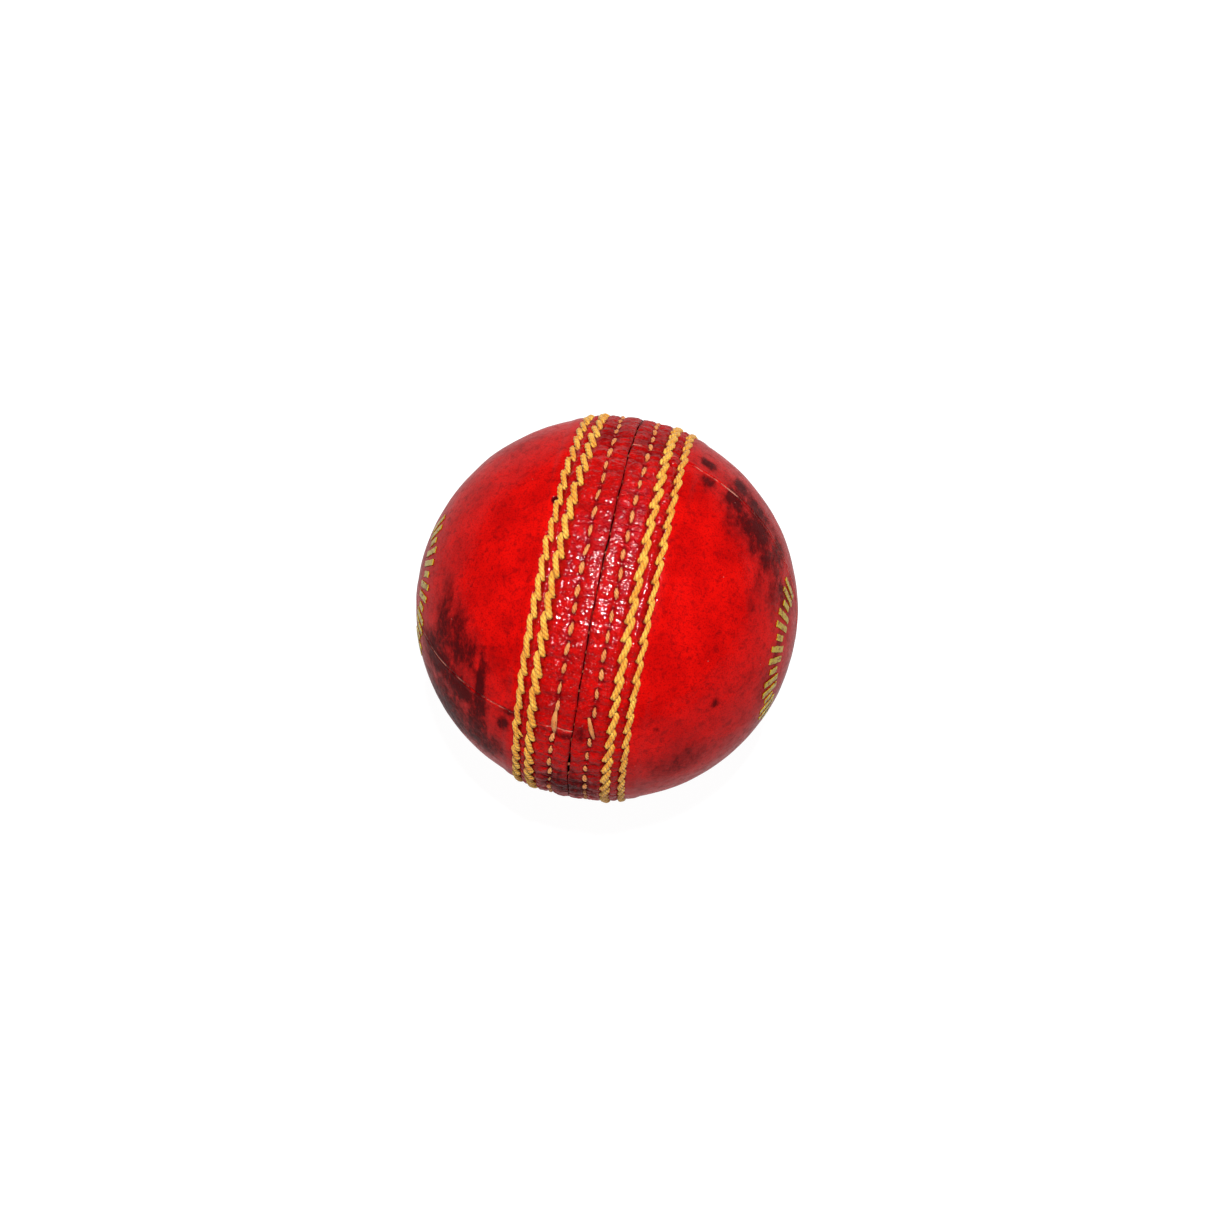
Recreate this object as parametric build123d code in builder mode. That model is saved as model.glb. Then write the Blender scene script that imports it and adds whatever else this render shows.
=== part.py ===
"""Four-piece cricket ball, hand sewn, modelled in millimetres.

Frame: the origin is the ball's centre, +X is the axis of the main seam (the seam's plane is YZ) and +Z is up.
A place in the ball is given by its distance from the centre, its latitude (degrees from the seam's plane
towards +X) and its turn (degrees about +X by the right-hand rule, from +Z).

From the inside out: a cork and rubber nucleus, five wool windings with four layers of cork slips between
them, two lining cups, and two leather cups of two quarters each. A fine thread joins each cup's quarters from
inside, a closing thread sews the two cups to each other, and four rows of heavier thread stiffen the seam.
Thin gilt bars decorate the cheeks. Nothing in the ball moves.
"""

from build123d import *

import os
from math import asin, cos, degrees, radians, sin

os.makedirs("parts", exist_ok=True)

# ---- Driving dimensions, mm and degrees ----------------------------------------------------------------

ball_radius = 35.9  # over the bare cheeks: 225.6 mm round
cover_thickness = 3.0
ridge_height = 0.15  # how far the sewn band stands above the cheeks
ridge_edge = 12.0  # half the width of the flat of the sewn band
ridge_foot = 13.6  # where the band's slope meets the cheek
slit_half_width = 0.10  # the two cups' lips stand this far from the seam's plane
skive_depth = 0.95  # leather pared from inside the band, for the thread's hidden runs
skive_edge = 12.2

glue_gap = 0.05  # between layers that are glued or drawn tight on each other
lining_thickness = 0.9

nucleus_radius = 12.0
wool_layers = 5
wool_thickness = 2.4
yarn_bulge = 0.35  # how far each turn of yarn stands out of its layer
yarn_turns = 14  # across each layer, from pole to pole
winding_eye = 0.6  # radius of the eye that the turns leave open at each pole
cork_clearance = 0.02
cork_slips = 8
slip_gap = 1.2  # degrees between neighbouring slips
cork_cap = 12.0  # half angle of the round cap at each end of a layer of slips
first_pitch = 90.0  # the first layer's poles are on the X axis
layer_tilt = 72.0  # each layer's poles are turned this far from the last one's

stitches = 60  # in every row
row_thread_radius = 0.42
closing_thread_radius = 0.34
quarter_thread_radius = 0.22
hole_clearance = 0.07

row_offsets = {  # distance of each heavy row from the seam's plane, along X
    "left_outer": -10.5,
    "left_middle": -7.8,
    "right_middle": 6.9,
    "right_outer": 10.0,
}
closing_offsets = (-3.5, 3.2)
row_slant = 0.6  # each heavy stitch ends this far either side of its row's middle
row_stitch_share = 0.78  # of the pitch, on the outside
closing_stitch_share = 0.65
closing_start = 1.0  # degrees from the heavy rows' first hole to the closing thread's
channel_depth = 0.5
channel_half_width = 1.25
closing_channel_half_width = 0.95
channel_headroom = 1.0  # how far the channels' cut runs on above the leather
row_lift = 0.15  # between a heavy stitch and the floor of its channel
thread_gap = 0.05  # between a thread's hidden runs, or a closing stitch, and what they lie on

quarter_turns = {"left": 57.5, "right": -39.0}  # where each cup's quarter seam meets the main seam
quarter_names = {"left": ("lower", "upper"), "right": ("front", "rear")}  # the first starts at that turn
quarter_groove_depth = 0.7
quarter_groove_half_width = 1.2
quarter_thread_swing = 0.8  # the fine thread crosses its seam from this far on one side to the other
quarter_thread_reach = 66.0  # degrees from the cup's pole to each end of the thread
quarter_thread_steps = 44

mark_circle = 14.0  # radius of the arc of gilt bars about the X axis
mark_turns = {"left": 36.0, "right": 32.0}  # the turn at the middle of each arc
mark_arc = 120.0
marks = 15
mark_length = 4.4
short_mark_length = 2.4
marks_to_a_group = 3  # a short bar starts each group
mark_width = 1.1
mark_thickness = 0.04

# ---- Derived dimensions --------------------------------------------------------------------------------

stitch_pitch = 360 / stitches
ridge_radius = ball_radius + ridge_height
cover_inside = ball_radius - cover_thickness
skive_radius = cover_inside + skive_depth
channel_floor = ridge_radius - channel_depth
row_top = channel_floor + row_thread_radius + row_lift  # distance of a thread's middle from the centre, outside
row_under = cover_inside + row_thread_radius + thread_gap  # the same, under the leather
closing_top = channel_floor + closing_thread_radius + thread_gap
closing_under = skive_radius - closing_thread_radius - thread_gap
lining_outside = cover_inside - glue_gap
lining_inside = lining_outside - lining_thickness
cork_layers = wool_layers - 1
wound_thickness = lining_inside - glue_gap - nucleus_radius
cork_thickness = (
    wound_thickness - wool_layers * wool_thickness - (wool_layers + cork_layers) * cork_clearance
) / cork_layers
quarter_thread_level = cover_inside + quarter_groove_depth / 2

cups = {"left": -1, "right": 1}  # each cup's side of the seam's plane


# ---- Places in the ball --------------------------------------------------------------------------------


def place(radius, latitude, turn):
    """The point at that distance from the centre, latitude and turn."""
    a, t = radians(latitude), radians(turn)
    return Vector(radius * sin(a), -radius * cos(a) * sin(t), radius * cos(a) * cos(t))


def latitude_of(offset):
    """The latitude on the ball's surface at that distance from the seam's plane."""
    return degrees(asin(offset / ball_radius))


def section(turn):
    """The plane through the X axis at that turn: its x is the ball's X, and its y points out of the ball."""
    t = radians(turn)
    return Plane(origin=(0, 0, 0), x_dir=(1, 0, 0), z_dir=(0, -cos(t), -sin(t)))


def at(radius, offset):
    """The point of a section at that distance from the centre and from the seam's plane."""
    return (offset, (radius**2 - offset**2) ** 0.5)


def arc(radius, start, end):
    """An arc about the centre, in a section, from one distance from the seam's plane to another."""
    middle = sin((asin(start / radius) + asin(end / radius)) / 2) * radius
    return ThreePointArc(at(radius, start), at(radius, middle), at(radius, end))


def finish(piece, name):
    """Labels a finished piece and writes its file."""
    piece.part.label = name
    export_step(piece.part, f"parts/{name}.step")


# ---- The core: nucleus, wool windings and cork slips ---------------------------------------------------


def make_nucleus():
    """The moulded ball of cork and rubber at the centre."""
    with BuildPart() as nucleus:
        Sphere(nucleus_radius)
    finish(nucleus, "core_nucleus")


def make_winding(inside, axis, name):
    """A layer of wool yarn wound round and round an axis: a shell ribbed by its turns, with an eye at each pole."""
    outside = inside + wool_thickness
    root = outside - yarn_bulge
    first, last = asin(winding_eye / root), radians(180) - asin(winding_eye / root)
    turn_angle = (last - first) / yarn_turns
    inner_height = (inside**2 - winding_eye**2) ** 0.5
    outer_height = (root**2 - winding_eye**2) ** 0.5
    with BuildPart() as winding:
        with BuildSketch(Plane.XZ):
            with BuildLine():
                for k in range(yarn_turns):
                    start = first + k * turn_angle
                    middle, end = start + turn_angle / 2, start + turn_angle
                    ThreePointArc(
                        (root * sin(start), root * cos(start)),
                        (outside * sin(middle), outside * cos(middle)),
                        (root * sin(end), root * cos(end)),
                    )
                Line((winding_eye, -outer_height), (winding_eye, -inner_height))
                ThreePointArc((winding_eye, -inner_height), (inside, 0), (winding_eye, inner_height))
                Line((winding_eye, inner_height), (winding_eye, outer_height))
            make_face()
        revolve(axis=Axis.Z)
    with BuildPart() as placed:
        add(winding.part, rotation=axis)
    finish(placed, name)


def slip_outline(inside, start, end):
    """The section of a cork slip between two angles from its layer's pole."""
    middle = (start + end) / 2
    outside = inside + cork_thickness
    with BuildLine() as outline:
        ThreePointArc(*[(outside * sin(a), outside * cos(a)) for a in (start, middle, end)])
        Line((outside * sin(end), outside * cos(end)), (inside * sin(end), inside * cos(end)))
        ThreePointArc(*[(inside * sin(a), inside * cos(a)) for a in (end, middle, start)])
        Line((inside * sin(start), inside * cos(start)), (outside * sin(start), outside * cos(start)))
    return outline.edges()


def make_cork_layer(inside, axis, name):
    """A layer of cork slips laid side by side like the segments of an orange, with a round cap at each end."""
    cap_outline = slip_outline(inside, 0, radians(cork_cap))
    side_outline = slip_outline(inside, radians(cork_cap + slip_gap), radians(180 - cork_cap - slip_gap))
    with BuildPart() as slip:
        with BuildSketch(Plane.XZ):
            make_face(side_outline)
        revolve(axis=Axis.Z, revolution_arc=360 / cork_slips - slip_gap)
    with BuildPart() as end_cap:
        with BuildSketch(Plane.XZ):
            make_face(cap_outline)
        revolve(axis=Axis.Z)
    with BuildPart() as layer:
        with PolarLocations(0, cork_slips):
            add(slip.part)
        add(end_cap.part)
        add(end_cap.part, rotation=(180, 0, 0))
    with BuildPart() as placed:
        add(layer.part, rotation=axis)
    finish(placed, name)


def make_core():
    """The nucleus, then wool and cork by turns, with the wool outermost."""
    make_nucleus()
    inside = nucleus_radius + cork_clearance
    for k in range(wool_layers):
        axis = (k * layer_tilt, first_pitch - k * layer_tilt / 2, 0)
        make_winding(inside, axis, f"wool_winding_{k + 1}")
        inside += wool_thickness + cork_clearance
        if k < cork_layers:
            make_cork_layer(inside, axis, f"cork_layer_{k + 1}")
            inside += cork_thickness + cork_clearance


# ---- Thread --------------------------------------------------------------------------------------------


def row_holes(offset):
    """(latitude, turn) of the holes where each stitch of a heavy row comes up and goes down again."""
    lean = row_slant if offset > 0 else -row_slant
    up, down = latitude_of(offset + lean), latitude_of(offset - lean)
    run = row_stitch_share * stitch_pitch
    holes = []
    for k in range(stitches):
        holes += [(up, k * stitch_pitch), (down, k * stitch_pitch + run)]
    return holes


def closing_holes():
    """(latitude, turn) of the closing thread's holes: a stitch on the left cup, then one on the right."""
    run = closing_stitch_share * stitch_pitch
    holes = []
    for k in range(stitches):
        start = closing_start + k * stitch_pitch
        for offset in closing_offsets:
            holes += [(latitude_of(offset), start), (latitude_of(offset), start + run)]
    return holes


def sewn_route(holes, top, under):
    """Up one hole, over the leather to the next, down it, and under the leather to the one after that."""
    route = []
    for n, hole in enumerate(holes):
        levels = (under, top) if n % 2 == 0 else (top, under)
        route += [place(level, *hole) for level in levels]
    return route


def make_thread(route, radius, name):
    """A round thread pulled tight along the route, so that it turns sharply at each hole."""
    with BuildPart() as thread:
        with BuildLine() as path:
            Polyline(*route)
        with BuildSketch(Plane(origin=path.line @ 0, z_dir=path.line % 0)):
            Circle(radius)
        sweep(transition=Transition.RIGHT)
    finish(thread, name)


def make_seam_threads():
    """The four heavy rows, and the one closing thread that makes the two inner rows."""
    for row, offset in row_offsets.items():
        route = sewn_route(row_holes(offset), row_top, row_under)
        make_thread(route, row_thread_radius, f"stitch_row_{row}")
    route = sewn_route(closing_holes(), closing_top, closing_under)
    make_thread(route, closing_thread_radius, "closing_stitch_thread")


def make_quarter_thread(cup):
    """The fine thread in the groove under a cup's quarter seam, crossing the seam from side to side."""
    side = cups[cup]
    frame = section(quarter_turns[cup])
    across = frame.z_dir
    route = []
    for k in range(quarter_thread_steps + 1):
        from_pole = radians(quarter_thread_reach * (2 * k / quarter_thread_steps - 1))
        outwards = Vector(side, 0, 0) * cos(from_pole) + frame.y_dir * sin(from_pole)
        swing = quarter_thread_swing if k % 2 == 0 else -quarter_thread_swing
        route.append(outwards * quarter_thread_level + across * swing)
    make_thread(route, quarter_thread_radius, f"quarter_thread_{cup}")


# ---- Cover ---------------------------------------------------------------------------------------------


def make_lining(cup):
    """A thin cup between the wool and the leather."""
    side = cups[cup]
    with BuildPart() as lining:
        with BuildSketch(section(0)):
            with BuildLine():
                arc(lining_outside, side * glue_gap, side * lining_outside)
                Line((side * lining_outside, 0), (side * lining_inside, 0))
                arc(lining_inside, side * lining_inside, side * glue_gap)
                Line(at(lining_inside, side * glue_gap), at(lining_outside, side * glue_gap))
            make_face()
        revolve(axis=Axis.X)
    finish(lining, f"lining_{cup}")


def cover_outline(side):
    """Half the section of a leather cup: cheek, sewn band, lip at the slit, and the pared band inside."""
    slit = side * slit_half_width
    foot, edge, skive = side * ridge_foot, side * ridge_edge, side * skive_edge
    with BuildLine() as outline:
        arc(ball_radius, side * ball_radius, foot)
        Line(at(ball_radius, foot), at(ridge_radius, edge))
        arc(ridge_radius, edge, slit)
        Line(at(ridge_radius, slit), at(skive_radius, slit))
        arc(skive_radius, slit, skive)
        Line(at(skive_radius, skive), at(cover_inside, skive))
        arc(cover_inside, skive, side * cover_inside)
        Line((side * cover_inside, 0), (side * ball_radius, 0))
    return outline.edges()


def channel_outline(offset, half_width):
    """The section of the shallow channel that a row of stitches is drawn down into."""
    low, high = offset - half_width, offset + half_width
    clear = ridge_radius + channel_headroom
    with BuildLine() as outline:
        arc(channel_floor, low, high)
        Line(at(channel_floor, high), at(clear, high))
        arc(clear, high, low)
        Line(at(clear, low), at(channel_floor, low))
    return outline.edges()


def hole_planes(holes, low, high):
    """A plane at the foot of each hole whose turn is between low and high, facing out of the ball."""
    planes = []
    for latitude, turn in holes:
        if low < (turn - low) % 360 + low < high:
            foot = place(cover_inside, latitude, turn)
            planes.append(Plane(origin=foot, z_dir=foot.normalized()))
    return planes


def make_quarter(cup, start, name):
    """One leather quarter of a cup, from its quarter seam at the turn start through half a circle."""
    side = cups[cup]
    rows = [offset for offset in row_offsets.values() if offset * side > 0]
    closing = [offset for offset in closing_offsets if offset * side > 0]
    row_planes = []
    for offset in rows:
        row_planes += hole_planes(row_holes(offset), start, start + 180)
    this_side = [hole for hole in closing_holes() if hole[0] * side > 0]
    closing_planes = hole_planes(this_side, start, start + 180)
    across = section(start).z_dir
    outline = cover_outline(side)
    channels = [channel_outline(offset, channel_half_width) for offset in rows]
    channels += [channel_outline(offset, closing_channel_half_width) for offset in closing]
    with BuildPart() as quarter:
        with BuildSketch(section(start)):
            make_face(outline)
        revolve(axis=Axis.X, revolution_arc=180)
        with BuildSketch(section(start)):
            for channel in channels:
                make_face(channel)
        revolve(axis=Axis.X, mode=Mode.SUBTRACT)
        with Locations(Plane(origin=(0, 0, 0), z_dir=across)):
            Cylinder(
                cover_inside + quarter_groove_depth,
                2 * quarter_groove_half_width,
                mode=Mode.SUBTRACT,
            )
        with Locations(*row_planes):
            Cylinder(
                row_thread_radius + hole_clearance,
                2 * cover_thickness,
                mode=Mode.SUBTRACT,
            )
        with Locations(*closing_planes):
            Cylinder(
                closing_thread_radius + hole_clearance,
                2 * cover_thickness,
                mode=Mode.SUBTRACT,
            )
    finish(quarter, name)


def make_cover():
    """Two cups of two quarters each, with their linings and their hidden quarter threads."""
    for cup, turn in quarter_turns.items():
        make_lining(cup)
        make_quarter_thread(cup)
        for k, quarter in enumerate(quarter_names[cup]):
            make_quarter(cup, turn + k * 180, f"cover_quarter_{cup}_{quarter}")


# ---- Gilt marks ----------------------------------------------------------------------------------------


def mark_planes(cup, short):
    """A plane at each of a cheek's short bars, or at each of its long ones, facing along the X axis."""
    planes = []
    for k in range(marks):
        if (k % marks_to_a_group == 0) == short:
            t = radians(mark_turns[cup] + mark_arc * (k / (marks - 1) - 0.5))
            outwards = Vector(0, -sin(t), cos(t))
            planes.append(Plane(origin=outwards * mark_circle, x_dir=outwards, z_dir=(cups[cup], 0, 0)))
    return planes


def make_marks(cup):
    """An arc of plain gilt bars on a cheek, each a leaf as thin as its foil."""
    from_middle = (Align.CENTER, Align.CENTER, Align.MIN)
    with BuildPart() as bars:
        with Locations(*mark_planes(cup, short=False)):
            Box(mark_length, mark_width, 2 * ball_radius, align=from_middle)
        with Locations(*mark_planes(cup, short=True)):
            Box(short_mark_length, mark_width, 2 * ball_radius, align=from_middle)
    with BuildPart() as leaf:
        Sphere(ball_radius + mark_thickness)
        Sphere(ball_radius, mode=Mode.SUBTRACT)
        add(bars.part, mode=Mode.INTERSECT)
    finish(leaf, f"gilt_marks_{cup}")


make_core()
make_cover()
make_seam_threads()
for cup in cups:
    make_marks(cup)
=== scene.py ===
"""The looks of a hand-sewn leather cricket ball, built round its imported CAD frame.

The ball's centre is the origin, +X is the axis of the main seam (whose plane is YZ) and +Z is up. Shapes
are worked out in millimetres and scaled to metres as each mesh is made. A place on the ball is given by its
arc (millimetres along the surface from the seam's plane, positive towards +X), its angle (degrees about X,
from +Z towards +Y) and its height above the bare cheek.
"""

from math import radians

import bmesh
import bpy
import numpy as np
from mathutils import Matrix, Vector


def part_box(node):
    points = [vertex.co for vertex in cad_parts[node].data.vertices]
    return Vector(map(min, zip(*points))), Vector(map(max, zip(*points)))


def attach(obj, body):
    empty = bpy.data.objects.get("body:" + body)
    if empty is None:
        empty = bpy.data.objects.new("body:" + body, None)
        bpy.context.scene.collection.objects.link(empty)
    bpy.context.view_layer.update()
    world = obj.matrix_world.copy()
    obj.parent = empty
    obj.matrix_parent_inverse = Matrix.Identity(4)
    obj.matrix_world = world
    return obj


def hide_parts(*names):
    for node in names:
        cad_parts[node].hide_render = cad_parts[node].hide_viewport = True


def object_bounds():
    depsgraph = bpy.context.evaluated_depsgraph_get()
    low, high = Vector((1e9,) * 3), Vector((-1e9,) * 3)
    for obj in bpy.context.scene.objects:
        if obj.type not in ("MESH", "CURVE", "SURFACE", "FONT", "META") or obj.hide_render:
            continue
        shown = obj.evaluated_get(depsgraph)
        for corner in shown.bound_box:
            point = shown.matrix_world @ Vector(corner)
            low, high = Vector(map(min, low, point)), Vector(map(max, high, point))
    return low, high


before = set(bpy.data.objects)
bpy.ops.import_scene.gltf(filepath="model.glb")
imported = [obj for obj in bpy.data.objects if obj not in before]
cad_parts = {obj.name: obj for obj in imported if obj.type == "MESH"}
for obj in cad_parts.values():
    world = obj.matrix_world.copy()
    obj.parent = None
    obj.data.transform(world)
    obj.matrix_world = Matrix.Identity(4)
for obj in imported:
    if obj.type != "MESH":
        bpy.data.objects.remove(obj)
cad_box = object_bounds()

# ---- Sizes, mm and degrees -------------------------------------------

MM = 0.001
ball_radius = -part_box("cover_quarter_left_upper")[0].x / MM
degree = ball_radius * radians(1)  # the length of a degree on a great circle
leather_thickness = 2.6
band_edge = 12.0  # arc where the sewn band's raised surface ends
band_foot = 13.6
band_height = 0.2
thread_room = 0.35  # between a row's middle and the leather that swells beside it
sewn_edges = {-1: 10.0, 1: 9.5}  # arc where the glossy, rumpled leather between the rows ends, on each side
sewn_fade = 0.7

stitches = 60  # in every row
pitch = 360 / stitches
plies = 3  # in every thread
ply_share = 0.45  # how far each ply's middle is from its thread's, as a share of the thread's radius
tube_sides = 8

# start: angle of the quarter's seam, from which it runs half a turn backwards
quarters = {
    "left_upper": dict(side=-1, start=122.5, seed=103),
    "left_lower": dict(side=-1, start=-57.5, seed=103),
    "right_front": dict(side=1, start=39.0, seed=118),
    "right_rear": dict(side=1, start=-141.0, seed=117),
}
quarter_gap = 0.02  # half the gap between two quarters
lip_radius = 0.16
seam_lip_radius = 0.12
slit_reach = 3.0  # how far from the slit the leather follows its waviness

# A needle hole beside the left outer row that has torn open
torn_arc, torn_angle = -11.2, 12.6
torn_depth, torn_radius = 1.3, 0.5

mark_circle = 14.0  # radius of the arc of gilt bars about the X axis
mark_middles = {"left": -36.0, "right": -32.0}  # the angle at the middle of each arc
mark_arc = 120.0
mark_count = 15
mark_lengths = (2.4, 4.4, 4.4)  # by turns
mark_width = 1.1
mark_top, mark_under = 0.16, 0.02

column_count = 600  # of vertices along half the seam
band_step = 0.165
cheek_step = 0.9
hook_points = 27  # along each stitch

heavy_seed, closing_seed, heavy_hair_seed, fray_seed, closing_hair_seed = 20, 40, 50, 90, 95
smudge_seed, scuff_seed = 71, 81
foil_seeds = {"left": 61, "right": 62}


def row_offset(node):
    """How far a sewn row's middle is from the seam's plane in the CAD."""
    low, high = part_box(node)
    return (low.x + high.x) / 2 / MM


closing_low, closing_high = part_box("closing_stitch_thread")
closing_thread = 0.34  # radius of the closing thread in the CAD

# side: which cup. bow: how far the row bows out and in round the ball. first: angle of the first stitch.
# reach: how far each stitch's ends stand to the side. radius: of the thread.
rows = {
    "left_outer": dict(side=-1, bow=-0.42, first=2.8, reach=0.46, radius=0.52),
    "left_middle": dict(side=-1, bow=-0.50, first=4.1, reach=0.56, radius=0.58),
    "right_middle": dict(side=1, bow=0.0, first=1.3, reach=0.50, radius=0.58),
    "right_outer": dict(side=1, bow=0.0, first=1.7, reach=0.34, radius=0.49),
}
for row_name, row in rows.items():
    row["offset"] = row_offset(f"stitch_row_{row_name}")
closing_rows = {
    "left": dict(side=-1, bow=0.1, first=4.1, offset=closing_low.x / MM + closing_thread),
    "right": dict(side=1, bow=0.1, first=4.5, offset=closing_high.x / MM - closing_thread),
}

# ---- Places and smooth noise -----------------------------------------


def outwards(arc, angle):
    """Unit vectors out of the ball at those arcs and angles."""
    latitude, turn = np.broadcast_arrays(arc / ball_radius, np.radians(angle))
    side = np.cos(latitude)
    return np.stack([np.sin(latitude), side * np.sin(turn), side * np.cos(turn)], -1)


def place(arc, angle, height):
    """Points at those arcs, angles and heights."""
    return outwards(arc, angle) * (ball_radius + np.asarray(height, float))[..., None]


def waves(points, length, seed, squeeze=(1, 1, 1)):
    """Smooth noise, mostly between -1 and 1, made of plane waves of about that length in mm."""
    count = 26
    random = np.random.default_rng(seed)
    total = np.zeros(points.shape[:-1])
    for _ in range(count):
        direction = random.normal(size=3)
        direction *= np.array(squeeze) / np.linalg.norm(direction)
        rate = 2 * np.pi / (length * random.uniform(0.7, 1.5))
        total += np.sin(points @ direction * rate + random.uniform(0, 2 * np.pi))
    return total / np.sqrt(2 * count)


def ramp(value, start, end):
    """0 at start and 1 at end, smooth between."""
    t = np.clip((value - start) / (end - start), 0, 1)
    return t * t * (3 - 2 * t)


def apart(angle, other):
    """The difference of two angles, between -180 and 180."""
    return (angle - other + 180) % 360 - 180


def row_arc(row, angle):
    """The arc of a row's middle at an angle: its CAD offset, bowed and wandering a little."""
    turn = np.radians(angle)
    wander = 0.06 * np.sin(5 * turn + row["first"]) + 0.04 * np.sin(13 * turn + 2 * row["first"])
    offset = row["offset"] + row["bow"] * np.cos(2 * (turn + radians(20))) + wander
    return ball_radius * np.arcsin(offset / ball_radius)


def slit_half_width(angle):
    """Half the width of the slit between the two cups, which opens here and there."""
    turn = np.radians(angle)
    width = 0.07 + 0.02 * np.sin(9 * turn + 1) + 0.02 * np.sin(23 * turn) + 0.015 * np.sin(41 * turn + 2)
    gapes = ((-72, 4.5, 0.12), (-2, 4.0, 0.07), (100, 5.0, 0.10), (-150, 6.0, 0.1))
    for middle, half_length, opening in gapes:
        width = width + opening * np.exp(-((apart(angle, middle) / half_length) ** 4))
    return width


def slit_wander(angle):
    """How far the slit's middle strays from the seam's plane."""
    turn = np.radians(angle)
    return 0.07 * np.sin(7 * turn + 0.6) + 0.05 * np.sin(19 * turn) + 0.03 * np.sin(37 * turn + 1)


# ---- Stitches --------------------------------------------------------


def plan_heavy(row, seed):
    """Where each heavy stitch lies and how it differs from its neighbours."""
    random = np.random.default_rng(seed)
    row["angle"] = row["first"] + pitch * np.arange(stitches) + random.normal(0, 0.22, stitches)
    row["shift"] = random.normal(0, 0.05, stitches)
    row["spread"] = random.normal(1, 0.14, stitches)
    row["size"] = random.normal(1, 0.045, stitches)
    row["twist"] = random.uniform(0, 2 * np.pi, stitches)
    row["lift"] = random.normal(0, 0.035, stitches)
    row["middle"] = row_arc(row, row["angle"]) + row["shift"]


loose_angle = -56.5  # of the two stitches that have pulled loose


def plan_closing(row, seed):
    """Where each closing stitch lies. One on each cup has pulled loose and frayed."""
    random = np.random.default_rng(seed)
    row["angle"] = row["first"] + pitch * np.arange(stitches) + random.normal(0, 0.3, stitches)
    row["middle"] = row_arc(row, row["angle"]) + random.normal(0, 0.12, stitches)
    row["half"] = random.normal(2.1, 0.2, stitches)
    row["width"] = random.normal(0.42, 0.045, stitches)
    row["slant"] = random.normal(0.12 * row["side"], 0.13, stitches)
    row["twist"] = random.uniform(0, 2 * np.pi, stitches)
    row["lift"] = random.normal(0, 0.03, stitches)
    loose = int(np.argmin(abs(apart(row["angle"], loose_angle))))
    row["loose"] = loose
    row["half"][loose] = 4.3
    row["width"][loose] = 0.44
    row["slant"][loose] = 0.1 if row["side"] < 0 else 0.55
    row["lift"][loose] = 0.14


for number, row in enumerate(rows.values()):
    plan_heavy(row, heavy_seed + number)
for number, row in enumerate(closing_rows.values()):
    plan_closing(row, closing_seed + number)

# Along a stitch: -1 where it comes up, 1 where it goes down
hook = np.linspace(-1, 1, hook_points)
# A stitch comes up under the last one's end, swings out to one side, then crosses to the other
swing_knots = ((-1, -0.2), (-0.8, -0.8), (-0.5, -1.0), (0, -0.4), (0.5, 0.35), (0.85, 0.85), (1, 0.95))
swing = np.polyval(np.polyfit(*zip(*swing_knots), 5), hook)

heavy_half = 0.62 * pitch  # half a heavy stitch's length, in degrees
heavy_height, heavy_dive = 0.14, 0.95
closing_height, closing_dive = -0.12, 0.5


def heavy_middles(row):
    """Arcs, angles and heights along the middle of each heavy stitch: an S that dives at both ends."""
    u = hook[None, :]
    lean = -row["side"]
    along = heavy_half * (1.2 * u - 0.2 * u**5)
    across = lean * row["reach"] * row["spread"][:, None] * swing[None, :]
    drop = np.where(u < 0, 1.1 * np.abs(u) ** 3.2, np.abs(u) ** 7)
    angle = row["angle"][:, None] - along
    arc = row["middle"][:, None] + across
    height = heavy_height + row["lift"][:, None] - heavy_dive * drop
    return arc, angle, height


def closing_middles(row):
    """The same for the small sunken stitches of the closing thread."""
    u = hook[None, :]
    angle = row["angle"][:, None] - row["half"][:, None] * u
    arc = row["middle"][:, None] + row["slant"][:, None] * row["half"][:, None] * 0.35 * u
    height = closing_height + row["lift"][:, None] - closing_dive * np.abs(u) ** 3
    return arc, angle, height


def unit(vectors):
    """The vectors, each at length 1."""
    return vectors / np.linalg.norm(vectors, axis=-1, keepdims=True)


def frames(points):
    """Unit vectors along, out of the ball and across, for lines of points."""
    along = unit(np.gradient(points, axis=-2))
    out = unit(points)
    out = unit(out - (out * along).sum(-1, keepdims=True) * along)
    return along, out, np.cross(along, out)


def distances(lines):
    """How far each point of each line is from the line's start, along it."""
    steps = np.linalg.norm(np.diff(lines, axis=-2), axis=-1)
    return np.concatenate([np.zeros((len(lines), 1)), np.cumsum(steps, -1)], -1)


def strands(middles, radii, twist_length, start):
    """The twisted plies of threads: each ply's line and radii, with its thread's middle line and radii."""
    _, out, across = frames(middles)
    length = distances(middles)
    lines = []
    for ply in range(plies):
        turn = 2 * np.pi * (length / twist_length + ply / plies) + start[:, None]
        offset = np.cos(turn)[..., None] * across + np.sin(turn)[..., None] * out
        lines.append(middles + offset * (radii * ply_share)[..., None])
    ply_radii = radii * (1.04 - ply_share)
    around = [np.concatenate([value] * plies) for value in (ply_radii, middles, radii)]
    return np.concatenate(lines), *around


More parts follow.
